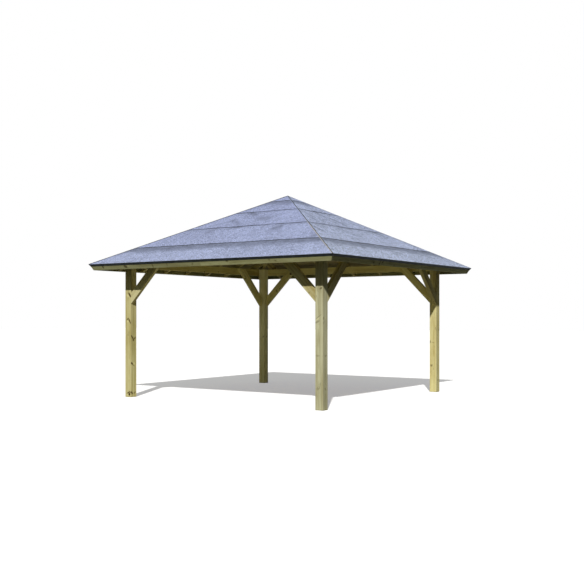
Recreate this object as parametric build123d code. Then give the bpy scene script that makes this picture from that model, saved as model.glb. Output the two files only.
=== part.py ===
from build123d import *
import os
from math import cos, radians, sin, sqrt, tan

# Garden gazebo: four square posts, a ring of beams on their outer faces, knee braces,
# and a boarded and felted pyramid roof on hip and jack rafters.
# Millimetres. The origin is the centre of the footprint on the ground, +Z is up,
# and the front side faces -Y.

# Posts
POST_WIDTH = 125
POST_SPACING = 3600
POST_EDGE_BEVEL = 3

# Beams and braces
BEAM_TOP = 2184
BEAM_HEIGHT = 120
BEAM_THICKNESS = 60
BRACE_DEPTH = 120
BRACE_THICKNESS = 60
BRACE_FOOT = 1483
BRACE_HEAD_DROP = 10

# Roof outline, taken on top of the felt
EAVE_SPAN = 4538
EAVE_HEIGHT = 2107
ROOF_PITCH = 27.2

# Roof layers, measured square to the slope
FELT_SHEET = 2.5
DECK_THICKNESS = 16
RAFTER_DEPTH = 90
FASCIA_THICKNESS = 20
FASCIA_JOINT = 1
DRIP_THICKNESS = 8
DRIP_DEPTH = 36

# Rafters
RAFTER_WIDTH = 45
RAFTER_SPACING = 556
JACKS_EACH_WAY = 3
HIP_WIDTH = 60
HIP_DEPTH = 120
APEX_BLOCK_WIDTH = 150
APEX_BLOCK_HANG = 40
APEX_BLOCK_BEVEL = 12

# Felt laps, as shares of the slope from the apex to the eave
FELT_LAPS = [0.090, 0.264, 0.506, 0.765]

# Hip strips
STRIP_WIDTH = 22
STRIP_HEIGHT = 3

# Values that follow from the driving dimensions
COS_PITCH = cos(radians(ROOF_PITCH))
SIN_PITCH = sin(radians(ROOF_PITCH))
TAN_PITCH = tan(radians(ROOF_PITCH))
HIP_FALL = TAN_PITCH / sqrt(2)
APEX_HEIGHT = EAVE_HEIGHT + EAVE_SPAN / 2 * TAN_PITCH
SLOPE_LENGTH = EAVE_SPAN / 2 / COS_PITCH
DECK_TOP = 2 * FELT_SHEET
RAFTER_TOP = DECK_TOP + DECK_THICKNESS
RAFTER_BOTTOM = RAFTER_TOP + RAFTER_DEPTH
FASCIA_FACE = SLOPE_LENGTH - DRIP_THICKNESS
RAFTER_END = FASCIA_FACE - FASCIA_THICKNESS
POST_CENTRE = POST_SPACING / 2
POST_OUTER = POST_CENTRE + POST_WIDTH / 2
POST_INNER = POST_CENTRE - POST_WIDTH / 2
BEAM_OUTER = POST_OUTER + BEAM_THICKNESS
REACH = EAVE_SPAN

# A quarter turn about the origin takes the right-hand side to each of the others
SIDES = {"front": -90, "right": 0, "back": 90, "left": 180}
CORNERS = {"front_right": -45, "back_right": 45, "back_left": 135, "front_left": 225}


def slope_point(along, depth):
    """Point of the right-hand slope, as x and z: along it from the apex, and square below its top."""
    return (along * COS_PITCH - depth * SIN_PITCH,
            APEX_HEIGHT - along * SIN_PITCH - depth * COS_PITCH)


def plane_height(depth):
    """Height above the origin at which the four planes at this depth meet."""
    return APEX_HEIGHT - depth / COS_PITCH


def long_prism(outline):
    """The x and z outline drawn out along the whole side, in Y."""
    return extrude(Plane.XZ * Polygon(*outline, align=None), amount=REACH, both=True)


def side_wedge(set_back=0):
    """The quarter of the plan that belongs to the right-hand side, set back from both hips."""
    plan = Polygon((set_back, 0), (REACH, set_back - REACH), (REACH, REACH - set_back), align=None)
    return extrude(plan, amount=REACH)


def mitred(outline):
    """A roof layer or edge board of the right-hand side, mitred on the two hip lines."""
    return long_prism(outline) & side_wedge()


def layer(top, bottom, inner_end, outer_end):
    """Outline of a layer between two depths and two distances along the slope."""
    return [slope_point(inner_end, top), slope_point(outer_end, top),
            slope_point(outer_end, bottom), slope_point(inner_end, bottom)]


def under_roof(depth, edge):
    """Everything below the four planes at this depth, ended square to each slope at the edge."""
    x_edge, z_edge = slope_point(edge, depth)
    x_foot, z_foot = slope_point(edge, depth + RAFTER_BOTTOM * 2)
    outline = [(0, plane_height(depth)), (x_edge, z_edge), (x_foot, z_foot),
               (-x_foot, z_foot), (-x_edge, z_edge)]
    return long_prism(outline) & Rot(0, 0, 90) * long_prism(outline)


def beam_square():
    """The space inside the beams' outer faces, up to their tops, that the rafters are notched over."""
    return Pos(0, 0, BEAM_TOP / 2) * Box(2 * BEAM_OUTER, 2 * BEAM_OUTER, BEAM_TOP)


def post(x, y):
    """A planed square post with eased long edges, standing on the ground up to the beams' tops."""
    body = Box(POST_WIDTH, POST_WIDTH, BEAM_TOP)
    body = chamfer(body.edges().filter_by(Axis.Z), POST_EDGE_BEVEL)
    return Pos(x, y, BEAM_TOP / 2) * body


def beam(runs_through):
    """A beam on the posts' outer faces. The front and back ones cover the ends of the others."""
    length = 2 * BEAM_OUTER if runs_through else 2 * POST_OUTER
    middle = POST_OUTER + BEAM_THICKNESS / 2
    return Pos(middle, 0, BEAM_TOP - BEAM_HEIGHT / 2) * Box(BEAM_THICKNESS, length, BEAM_HEIGHT)


def brace(direction):
    """A knee brace of the right-hand side, from the post at -Y (direction 1) or +Y (direction -1).

    Its foot is cut plumb against the post, its outer face lies on the beam, and its head is level.
    """
    head = BEAM_TOP - BRACE_HEAD_DROP
    heel = BRACE_FOOT + BRACE_DEPTH * sqrt(2)
    outline = [(0, BRACE_FOOT), (head - BRACE_FOOT, head), (head - heel, head), (0, heel)]
    placed = [(direction * (reach - POST_INNER), height) for reach, height in outline]
    face = Plane.YZ.offset(POST_OUTER - BRACE_THICKNESS) * Polygon(*placed, align=None)
    return extrude(face, amount=BRACE_THICKNESS, dir=(1, 0, 0))


def hip_rafter():
    """The hip rafter over the corner at 45 degrees.

    Its top is backed to both slopes, it is notched over the corner of the beams, and its tail is
    reduced to the depth of the jack rafters and pointed to fit between the two fascias.
    """
    start = APEX_BLOCK_WIDTH / 2
    end = EAVE_SPAN / 2 * sqrt(2)
    step = BEAM_OUTER * sqrt(2) - HIP_WIDTH / 2
    hip_cosine = 1 / sqrt(1 + HIP_FALL ** 2)
    top = plane_height(0)
    inner_bottom = plane_height(RAFTER_TOP) - HIP_DEPTH / hip_cosine
    tail_bottom = plane_height(RAFTER_BOTTOM)
    outline = [(start, top - start * HIP_FALL), (end, top - end * HIP_FALL),
               (end, tail_bottom - end * HIP_FALL), (step, tail_bottom - step * HIP_FALL),
               (step, inner_bottom - step * HIP_FALL), (start, inner_bottom - start * HIP_FALL)]
    blank = extrude(Plane.XZ * Polygon(*outline, align=None), amount=HIP_WIDTH / 2, both=True)
    return (Rot(0, 0, 45) * blank & under_roof(RAFTER_TOP, RAFTER_END)) - beam_square()


def rafters():
    """The common rafter and the jack rafters of the right-hand side.

    Each is notched over the beam and cut square at the fascia. The common rafter meets a flat of
    the apex block, and the jacks are cut to the hip rafters' sides.
    """
    outline = layer(RAFTER_TOP, RAFTER_BOTTOM, 0, RAFTER_END)
    blank = extrude(Plane.XZ * Polygon(*outline, align=None), amount=RAFTER_WIDTH / 2, both=True)
    between_hips = side_wedge(HIP_WIDTH / sqrt(2))
    beyond_block = Pos(APEX_BLOCK_WIDTH / 2 + REACH / 2, 0, REACH / 2) * Box(REACH, REACH, REACH)
    seat = beam_square()
    pieces = []
    for number in range(-JACKS_EACH_WAY, JACKS_EACH_WAY + 1):
        placed = Pos(0, number * RAFTER_SPACING, 0) * blank
        pieces.append(((placed & between_hips) & beyond_block) - seat)
    return Compound(children=[piece.solid() for piece in pieces])


def apex_block():
    """The eight-sided block that the eight top rafters butt against, weathered to the slopes."""
    hip_cosine = 1 / sqrt(1 + HIP_FALL ** 2)
    hip_foot = plane_height(RAFTER_TOP) - HIP_DEPTH / hip_cosine - APEX_BLOCK_WIDTH / 2 * HIP_FALL
    bottom = hip_foot - APEX_BLOCK_HANG
    plan = RegularPolygon(APEX_BLOCK_WIDTH / 2, 8, major_radius=False, rotation=22.5)
    block = Pos(0, 0, bottom) * extrude(plan, amount=APEX_HEIGHT - bottom)
    block = chamfer(block.faces().sort_by(Axis.Z)[0].edges(), APEX_BLOCK_BEVEL)
    return block & under_roof(RAFTER_TOP, RAFTER_END)


def roof_boards():
    """The boarding of one slope, down to the outer face of the fascia."""
    return mitred(layer(DECK_TOP, RAFTER_TOP, 0, FASCIA_FACE))


def felt():
    """The felt of one slope: each course lies over the top edge of the course below it."""
    ends = [0] + [share * SLOPE_LENGTH for share in FELT_LAPS] + [SLOPE_LENGTH]
    outline = []
    for upper, lower in zip(ends, ends[1:]):
        outline += [slope_point(upper, FELT_SHEET), slope_point(lower, 0)]
    outline += [slope_point(SLOPE_LENGTH, DECK_TOP), slope_point(0, DECK_TOP)]
    return mitred(outline)


def fascia():
    """The fascia, square to the slope on the rafters' ends, in two boards that meet on the common rafter."""
    whole = mitred(layer(RAFTER_TOP, RAFTER_BOTTOM, RAFTER_END, FASCIA_FACE))
    boards = whole - Pos(EAVE_SPAN / 2, 0, EAVE_HEIGHT) * Box(EAVE_SPAN, FASCIA_JOINT, EAVE_SPAN)
    return Compound(children=boards.solids())


def drip_edge():
    """The dark strip that covers the boarding's edge and the top of the fascia."""
    return mitred(layer(DECK_TOP, DECK_TOP + DRIP_DEPTH, FASCIA_FACE, SLOPE_LENGTH))


def hip_strip():
    """The narrow strip over the felt along the hip at 45 degrees."""
    length = EAVE_SPAN * sqrt(2) / 2
    track = Pos(length / 2, 0, APEX_HEIGHT) * Box(length, STRIP_WIDTH, REACH)
    corner = Rot(0, 0, 45) * side_wedge()
    skin = under_roof(-STRIP_HEIGHT, SLOPE_LENGTH) - under_roof(0, SLOPE_LENGTH + 1)
    return (Rot(0, 0, 45) * track & corner) & skin


def build():
    """Every node of the gazebo, by name."""
    nodes = {}
    for corner, angle in CORNERS.items():
        y_name, x_name = corner.split("_")
        x = POST_CENTRE if x_name == "right" else -POST_CENTRE
        y = POST_CENTRE if y_name == "back" else -POST_CENTRE
        turn = Rot(0, 0, angle - 45)
        nodes[f"{corner}_post"] = post(x, y)
        nodes[f"{corner}_hip_rafter"] = turn * hip_rafter()
        nodes[f"{corner}_hip_strip"] = turn * hip_strip()
    brace_ends = {"front": ("left", "right"), "right": ("front", "back"),
                  "back": ("right", "left"), "left": ("back", "front")}
    for side, angle in SIDES.items():
        turn = Rot(0, 0, angle)
        first, second = brace_ends[side]
        nodes[f"{side}_beam"] = turn * beam(side in ("front", "back"))
        nodes[f"{side}_side_{first}_brace"] = turn * brace(1)
        nodes[f"{side}_side_{second}_brace"] = turn * brace(-1)
        nodes[f"{side}_rafters"] = turn * rafters()
        nodes[f"{side}_roof_boards"] = turn * roof_boards()
        nodes[f"{side}_felt"] = turn * felt()
        nodes[f"{side}_fascia"] = turn * fascia()
        nodes[f"{side}_drip_edge"] = turn * drip_edge()
    nodes["apex_block"] = apex_block()
    return nodes


os.makedirs("parts", exist_ok=True)
for name, shape in build().items():
    export_step(shape, f"parts/{name}.step")
    print(name, len(shape.solids()), round(shape.volume / 1e6, 3), "litres")
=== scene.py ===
import math
import random

import bpy
from bpy.props import FloatProperty, FloatVectorProperty, IntProperty, PointerProperty
from mathutils import Matrix, Vector, noise


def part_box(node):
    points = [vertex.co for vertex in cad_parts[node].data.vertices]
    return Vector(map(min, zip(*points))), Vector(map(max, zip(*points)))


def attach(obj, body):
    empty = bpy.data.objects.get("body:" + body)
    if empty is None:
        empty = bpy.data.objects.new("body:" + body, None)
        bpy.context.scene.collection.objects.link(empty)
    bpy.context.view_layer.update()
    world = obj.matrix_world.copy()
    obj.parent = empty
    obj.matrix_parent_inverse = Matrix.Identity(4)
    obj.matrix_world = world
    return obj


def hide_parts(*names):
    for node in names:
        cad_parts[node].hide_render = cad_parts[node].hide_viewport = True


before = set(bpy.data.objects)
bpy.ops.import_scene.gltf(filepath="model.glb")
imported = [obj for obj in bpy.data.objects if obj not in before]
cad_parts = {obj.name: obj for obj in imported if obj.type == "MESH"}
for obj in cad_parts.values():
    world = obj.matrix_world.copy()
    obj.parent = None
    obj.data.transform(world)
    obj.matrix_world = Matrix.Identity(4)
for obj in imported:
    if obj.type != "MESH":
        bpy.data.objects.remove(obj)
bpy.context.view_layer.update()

bl_info = {
    "name": "Garden gazebo finish",
    "version": (1, 0, 0),
    "blender": (4, 5, 0),
    "location": "3D View > Sidebar > Gazebo",
    "description": "Boards, felt, fixings, timber finish and stage for an open garden gazebo",
    "category": "Object",
}

# Metres throughout. The origin is the centre of the footprint on the ground, +Z is up,
# and the front side faces -Y.
BODY = "root"
SIDES = {"front": -90, "right": 0, "back": 90, "left": 180}
CORNERS = {"front_left": (-1, -1), "front_right": (1, -1), "back_right": (1, 1), "back_left": (-1, 1)}

# Roof pitch and layers, measured square to the slope from the top of the felt
PITCH = math.radians(27.2)
FELT_SHEET = 0.0025
DECK_TOP = 2 * FELT_SHEET
RAFTER_TOP = DECK_TOP + 0.016
RAFTER_BOTTOM = RAFTER_TOP + 0.090
DRIP_THICKNESS = 0.008
DRIP_DEPTH = 0.036
FASCIA_THICKNESS = 0.020
RAFTER_SPACING = 0.556
RAFTER_WIDTH = 0.045
HIP_WIDTH = 0.060
HIP_DEPTH = 0.120
BRACE_DEPTH = 0.120
STRIP_HEIGHT = 0.003
FELT_LAPS = (0.090, 0.264, 0.506, 0.765)

# Where the grain of each kind of member starts, and the seeds of the random draws
GRAIN = {"post": 3.1, "beam": 11.7, "brace": 21.3, "rafter": 31.9, "hip": 71.3, "apex": 81.1,
         "board": 101.5, "fascia": 131.5}
DRAWS = {"board": 41, "fascia": 53, "fixing": 67}

# Sizes read from the frame
FELT_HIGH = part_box("right_felt")[1]
EAVE_HALF = FELT_HIGH.x
APEX = FELT_HIGH.z + FELT_SHEET / math.cos(PITCH)
SLOPE_LENGTH = EAVE_HALF / math.cos(PITCH)
FASCIA_FACE = SLOPE_LENGTH - DRIP_THICKNESS
RAFTER_END = FASCIA_FACE - FASCIA_THICKNESS
HIP_FALL = math.tan(PITCH) / math.sqrt(2)
POST_INNER, POST_OUTER = [corner.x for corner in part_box("front_right_post")]
POST_CENTRE = (POST_INNER + POST_OUTER) / 2
BEAM_INNER, BEAM_OUTER = [corner.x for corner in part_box("right_beam")]
BEAM_BOTTOM, BEAM_TOP = [corner.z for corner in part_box("right_beam")]
BRACE_LOW, BRACE_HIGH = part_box("front_side_left_brace")
BRACE_FOOT = BRACE_LOW.z
BRACE_THICKNESS = BRACE_HIGH.y - BRACE_LOW.y


def paint(red, green, blue):
    """Linear colour from the 0 to 255 values of a paint chart."""
    return tuple(((v / 255 + 0.055) / 1.055) ** 2.4 if v > 10 else v / 3295 for v in (red, green, blue))


# What the settings of one kind share
COLOUR = {"subtype": "COLOR", "size": 3, "min": 0, "max": 1}
LENGTH = {"subtype": "DISTANCE", "unit": "LENGTH"}


class TimberSettings(bpy.types.PropertyGroup):
    """Colours and sizes of the timber"""

    pale: FloatVectorProperty(
        name="Pale wood", description="Early wood of the planed, treated softwood",
        default=paint(206, 199, 152), **COLOUR)
    olive: FloatVectorProperty(
        name="Olive grain", description="Late wood and darker streaks",
        default=paint(163, 148, 92), **COLOUR)
    knot: FloatVectorProperty(
        name="Knot", description="Core of a knot",
        default=paint(66, 48, 14), **COLOUR)
    arris: FloatProperty(
        name="Arris", description="Rounding of the sawn and planed edges",
        default=0.0015, min=0.0, **LENGTH)
    board_cover: FloatProperty(
        name="Board cover", description="Width that one roof board covers",
        default=0.094, min=0.05, **LENGTH)
    board_joint: FloatProperty(
        name="Board joint", description="Chamfer of the V joint under the roof boards",
        default=0.003, min=0.0, **LENGTH)


class RoofSettings(bpy.types.PropertyGroup):
    """Colours and sizes of the felt, the drip edges and the hip strips"""

    mineral: FloatVectorProperty(
        name="Mineral", description="Blue-grey mineral on the felt",
        default=paint(158, 168, 199), **COLOUR)
    # This colour also paints the shade along the lap lines of the felt and on one flank of each hip strip
    bitumen: FloatVectorProperty(
        name="Bitumen", description="Bare bitumen at the laps and on the edges",
        default=paint(44, 49, 50), **COLOUR)
    overlap: FloatProperty(
        name="Overlap", description="How far each course lies over the next",
        default=0.080, min=0.02, **LENGTH)
    wave: FloatProperty(
        name="Wave", description="Height of the soft waves in a sheet",
        default=0.0022, min=0.0, **LENGTH)
    mesh_step: FloatProperty(
        name="Mesh step", description="Distance between the points of a sheet",
        default=0.030, min=0.01, **LENGTH)


class FixingSettings(bpy.types.PropertyGroup):
    """Sizes of the screws and nails"""

    frame_head: FloatProperty(
        name="Frame screw head", description="Diameter of the heads in beams and braces",
        default=0.012, min=0.004, **LENGTH)
    board_head: FloatProperty(
        name="Board screw head", description="Diameter of the heads in the fascias",
        default=0.008, min=0.003, **LENGTH)
    nail_head: FloatProperty(
        name="Nail head", description="Diameter of the clout nails in the edges",
        default=0.009, min=0.003, **LENGTH)
    nail_spacing: FloatProperty(
        name="Nail spacing", description="Distance between the clout nails",
        default=0.150, min=0.05, **LENGTH)
    segments: IntProperty(
        name="Segments", description="Sides of a round head", default=12, min=8, max=32)


class StageSettings(bpy.types.PropertyGroup):
    """Light, floor and camera"""

    sun: FloatProperty(
        name="Sun", description="Strength of the sun lamp", default=3.6, min=0.0)
    sky: FloatProperty(
        name="Sky", description="Light of the plain surroundings on the object", default=0.225, min=0.0)
    sky_right: FloatProperty(
        name="Sky at the right", description="Share of that light that comes from the right side",
        default=0.30, min=0.0, max=1.0)
    sky_colour: FloatVectorProperty(
        name="Sky colour", description="Colour of the light of the surroundings",
        default=(0.98, 1.0, 0.76), **COLOUR)
    under: FloatVectorProperty(
        name="Floor under the roof", description="Colour of the covered floor as it lights the object",
        default=(0.90, 0.85, 0.58), **COLOUR)
    around: FloatVectorProperty(
        name="Floor around", description="Colour of the floor around the object as it lights it",
        default=(0.050, 0.052, 0.032), **COLOUR)
    glow: FloatProperty(
        name="Glow", description="How much the floor's shadow is lightened", default=0.354, min=0.0)
    lens: FloatProperty(
        name="Lens", description="Focal length on a 36 mm sensor",
        subtype="DISTANCE_CAMERA", unit="CAMERA", default=55.13, min=1.0)


# Shader helpers

def arithmetic(operation, turned=False):
    """A method that works out one operation with a math node."""
    def method(self, other):
        pair = (other, self) if turned else (self, other)
        return self.wire.math(operation, *pair)
    return method


class Value:
    """What a node gives, so that plain arithmetic on it adds the math nodes."""

    def __init__(self, wire, outlet):
        self.wire = wire
        self.outlet = outlet

    def __abs__(self):
        return self.wire.math("ABSOLUTE", self)

    __add__ = arithmetic("ADD")
    __sub__ = arithmetic("SUBTRACT")
    __rsub__ = arithmetic("SUBTRACT", turned=True)
    __mul__ = arithmetic("MULTIPLY")
    __truediv__ = arithmetic("DIVIDE")


class Wiring:
    """Short calls for adding and joining the nodes of one tree."""

    def __init__(self, tree):
        self.tree = tree

    def add(self, kind, inputs=None, **settings):
        made = self.tree.nodes.new(kind)
        for key, value in settings.items():
            setattr(made, key, value)
        for key, value in (inputs or {}).items():
            self.join(value, made.inputs[key])
        return made

    def join(self, value, socket):
        if isinstance(value, Value):
            value = value.outlet
        if isinstance(value, bpy.types.NodeSocket):
            self.tree.links.new(value, socket)
        elif socket.type == "RGBA" and len(value) == 3:
            socket.default_value = (*value, 1)
        else:
            socket.default_value = value

    def value(self, kind, inputs=None, outlet=0, **settings):
        return Value(self, self.add(kind, inputs, **settings).outputs[outlet])

    def math(self, operation, *values, clamp=False):
        return self.value("ShaderNodeMath", dict(enumerate(values)), operation=operation, use_clamp=clamp)

    def vector(self, operation, *values):
        outlet = "Value" if operation == "LENGTH" else "Vector"
        return self.value("ShaderNodeVectorMath", dict(enumerate(values)), outlet, operation=operation)

    def split(self, vector):
        return [Value(self, outlet) for outlet in self.add("ShaderNodeSeparateXYZ", {0: vector}).outputs]

    def combine(self, x, y, z=0.0):
        return self.value("ShaderNodeCombineXYZ", {0: x, 1: y, 2: z})

    def local(self, vector, place=(0, 0, 0), turn=(0, 0, 0), size=(1, 1, 1)):
        """A vector as seen from a space at a place, turned and sized."""
        return self.value("ShaderNodeMapping", {"Vector": vector, "Location": place, "Rotation": turn,
                                                "Scale": size}, vector_type="TEXTURE")

    def number(self, label):
        """A number that the mesh holds on its points."""
        return self.value("ShaderNodeAttribute", outlet="Fac", attribute_name=label)

    def fade(self, value, start, end, to=1.0, begin=0.0):
        """Smooth step of value from start to end, giving begin to to."""
        return self.value("ShaderNodeMapRange", {"Value": value, "From Min": start, "From Max": end,
                                                 "To Min": begin, "To Max": to},
                          interpolation_type="SMOOTHSTEP")

    def fall(self, value, start, end, begin=1.0):
        """Smooth step of value from start to end, giving begin down to 0."""
        return self.fade(value, start, end, 0.0, begin)

    def noise(self, vector, scale=1.0, detail=2.0, rough=0.5, colour=False):
        return self.value("ShaderNodeTexNoise", {"Vector": vector, "Scale": scale, "Detail": detail,
                                                 "Roughness": rough}, "Color" if colour else "Fac")

    def mix(self, factor, first, second, blend="MIX"):
        return self.value("ShaderNodeMix", {0: factor, 6: first, 7: second}, 2, data_type="RGBA",
                          blend_type=blend)

    def tint(self, colour, tone, blue=None):
        """A colour times a tone, with another one for its blue where that is given."""
        tones = self.combine(tone, tone, tone if blue is None else blue)
        return self.mix(1.0, colour, tones, blend="MULTIPLY")

    def ramp(self, value, *stops):
        made = self.add("ShaderNodeValToRGB", {0: value})
        points = made.color_ramp.elements
        while len(points) < len(stops):
            points.new(0.5)
        for point, (place, level) in zip(points, stops):
            point.position = place
            point.color = (level, level, level, 1)
        return Value(self, made.outputs[0])

    def finish(self, shader, colour, rough, gloss, relief, strength=0.5, distance=0.001):
        """Gives a shader its colour, roughness and relief, and its gloss on its own socket."""
        bump = self.value("ShaderNodeBump", {"Strength": strength, "Distance": distance, "Height": relief})
        for label, value in (("Base Color", colour), ("Roughness", rough), ("Normal", bump)):
            self.join(value, shader.inputs[label])
        shader.inputs["Specular IOR Level"].default_value = gloss


def group_tree(name, inputs, outputs):
    """A new node group: its tree, its wiring, what it is given, and the sockets of what it makes."""
    tree = bpy.data.node_groups.new(name, "ShaderNodeTree")
    for way, sockets in (("INPUT", inputs), ("OUTPUT", outputs)):
        for label, kind in sockets.items():
            tree.interface.new_socket(label, in_out=way, socket_type=f"NodeSocket{kind}")
    wire = Wiring(tree)
    given = {outlet.name: Value(wire, outlet) for outlet in wire.add("NodeGroupInput").outputs}
    return tree, wire, given, wire.add("NodeGroupOutput").inputs


def cleared(owner):
    """The wiring of a material's or a world's emptied tree."""
    owner.use_nodes = True
    owner.node_tree.nodes.clear()
    return Wiring(owner.node_tree)


def new_material(name):
    """A new material, its wiring, its shader and its coordinates."""
    material = bpy.data.materials.new(name)
    wire = cleared(material)
    shader = wire.add("ShaderNodeBsdfPrincipled")
    wire.add("ShaderNodeOutputMaterial", {"Surface": shader.outputs[0]})
    return material, wire, shader, wire.add("ShaderNodeTexCoord").outputs


def new_object(name, data):
    """A new object in the scene."""
    made = bpy.data.objects.new(name, data)
    bpy.context.scene.collection.objects.link(made)
    return made


# Timber

KNOT_GAP_ALONG = 0.42
KNOT_GAP_ACROSS = 0.12
KNOT_STRETCH = 1.35
RING_GAP = 0.0055
SIDE_FACE_SHIFT = 0.60
FAR = 9.0
WOOD_INPUTS = {"Place": "Vector", "Normal": "Vector", "Half width": "Float", "Half depth": "Float",
               "Spacing": "Float", "Seed": "Float", "Pith": "Float", "Placed knots": "Float",
               "Placed tone": "Float", "Flare": "Float", "Clear share": "Float", "Pale": "Color",
               "Olive": "Color"}
WOOD_OUTPUTS = {"Colour": "Color", "Roughness": "Float", "Height": "Float"}


def across_face(w, y, z, normal):
    """Place across a face: Y on the faces square to Z, and on the side faces Z and SIDE_FACE_SHIFT."""
    _, normal_y, normal_z = w.split(w.vector("ABSOLUTE", normal))
    on_depth_face = w.math("GREATER_THAN", normal_z, normal_y)
    return on_depth_face * y + (1.0 - on_depth_face) * (z + SIDE_FACE_SHIFT)


def softwood():
    """The group that turns a place in a member, X along the grain, into planed and treated softwood."""
    if "softwood" in bpy.data.node_groups:
        return bpy.data.node_groups["softwood"]
    knot_colour = bpy.context.scene.gazebo_timber.knot
    tree, w, given, result = group_tree("softwood", WOOD_INPUTS, WOOD_OUTPUTS)
    x, y, z = w.split(given["Place"])
    normal_x, _, _ = w.split(w.vector("ABSOLUTE", given["Normal"]))

    # Members that repeat at a spacing are told apart by their number
    number = w.math("ROUND", y / given["Spacing"])
    y = y - number * given["Spacing"]
    seed = given["Seed"] + number * 0.731
    chance = w.value("ShaderNodeTexWhiteNoise", {"W": seed}, "Color", noise_dimensions="1D")
    chance_x, chance_y, chance_z = w.split(chance)
    x = x + chance_x * 40.0

    def along_grain(along, across_it, **settings):
        """Noise with its own scale along the grain and across it."""
        return w.noise(w.combine(x * along, y * across_it, z * across_it), **settings)

    # Knots run through the member, square to the face on which they show
    across = across_face(w, y, z, given["Normal"])
    cells = w.combine(x / KNOT_GAP_ALONG, across / KNOT_GAP_ACROSS + seed * 7.3)
    voronoi = w.add("ShaderNodeTexVoronoi", {"Vector": cells, "Scale": 1.0}, voronoi_dimensions="2D").outputs
    from_knot = w.vector("MULTIPLY", w.vector("SUBTRACT", cells, voronoi["Position"]),
                         (KNOT_GAP_ALONG / KNOT_STRETCH, KNOT_GAP_ACROSS, 0.0))
    size_chance, show_chance, tone_chance = w.split(voronoi["Color"])
    radius = w.math("POWER", size_chance, 2.0) * 0.013 + 0.003
    left_out = w.math("LESS_THAN", show_chance, given["Clear share"])
    knot = w.vector("LENGTH", from_knot) / radius + left_out * FAR
    is_placed = w.math("LESS_THAN", given["Placed knots"], knot)
    tone = w.fade(is_placed, 0.0, 1.0, given["Placed tone"], tone_chance * 0.8)
    knot = w.math("MINIMUM", knot, given["Placed knots"])
    knot = knot + (w.noise(w.combine(x * 60.0, across * 90.0), detail=1.0) - 0.5) * 0.5

    # Growth rings about a pith that wanders along the member and gives way to knots
    _, wander_y, wander_z = w.split(along_grain(0.9, 4.0, colour=True))
    ring_y = y + (chance_y - 0.5) * given["Pith"] + (wander_y - 0.5) * 0.055
    ring_z = z + (chance_z - 0.5) * given["Pith"] + (wander_z - 0.5) * 0.055
    from_pith = w.vector("LENGTH", w.combine(ring_y, ring_z))
    rings = w.math("FRACT", (from_pith + w.fall(knot, 0.5, 4.5, 0.012)) / RING_GAP)
    late_wood = w.ramp(rings, (0.0, 0.0), (0.45, 0.12), (0.82, 1.0), (0.97, 0.85), (1.0, 0.0))

    # Fibres, streaks along the grain, and broad patches of tone
    fibre = along_grain(7.0, 260.0)
    streak = along_grain(1.1, 30.0, detail=3.0)
    patch = along_grain(1.7, 5.0, detail=3.0)
    end_grain = w.fade(normal_x, 0.55, 0.8)
    dark = late_wood * (end_grain * 0.3 + 0.34) + w.fade(streak, 0.35, 0.75, 0.55)
    dark = dark + w.fade(patch, 0.35, 0.75, 0.45, -0.15) + (chance_x - 0.5) * 0.25
    dark = w.math("ADD", dark, (fibre - 0.5) * 0.35, clamp=True)
    colour = w.mix(dark, given["Pale"], given["Olive"])

    # Drying cracks that follow the grain
    crack_line = w.noise(w.combine(x * 0.8, across * 17.0), detail=1.0)
    crack = w.fall(abs(crack_line - 0.5), 0.0, 0.007) * w.fade(patch, 0.53, 0.60)

    # Knots over the grain: a pale flare, a warm halo, a core and a dark rim
    colour = w.mix(given["Flare"], colour, paint(226, 219, 160))
    core = w.math("MULTIPLY", w.fall(knot, 0.75, 1.15), tone + 0.25, clamp=True)
    rim = w.fade(knot, 0.65, 0.95) * w.fall(knot, 1.0, 1.3)
    warm = w.mix(0.45, given["Olive"], knot_colour)
    colour = w.mix(w.fall(knot, 0.9, 2.2, 0.45) * tone, colour, warm)
    colour = w.mix(core, colour, w.mix(tone, warm, knot_colour))
    colour = w.mix(rim * (tone * 0.6), colour, paint(48, 34, 12))
    colour = w.mix(crack * 0.75, colour, paint(70, 58, 36))

    # Sawn ends are darker, and arrises are rubbed pale
    colour = w.mix(end_grain * 0.45, colour, paint(122, 104, 64))
    to_arris = w.math("MAXIMUM", given["Half width"] - abs(y), given["Half depth"] - abs(z))
    ragged = w.noise(w.combine(x * 25.0, y, z))
    colour = w.mix(w.fall(to_arris, 0.0, ragged * 0.011, 0.45), colour, paint(214, 205, 165))

    w.join(colour, result["Colour"])
    w.join(fibre * 0.22 + 0.62, result["Roughness"])
    w.join(late_wood * 0.35 + fibre * 0.6 - crack * 2.2 + core * 0.5, result["Height"])
    return tree


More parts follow.
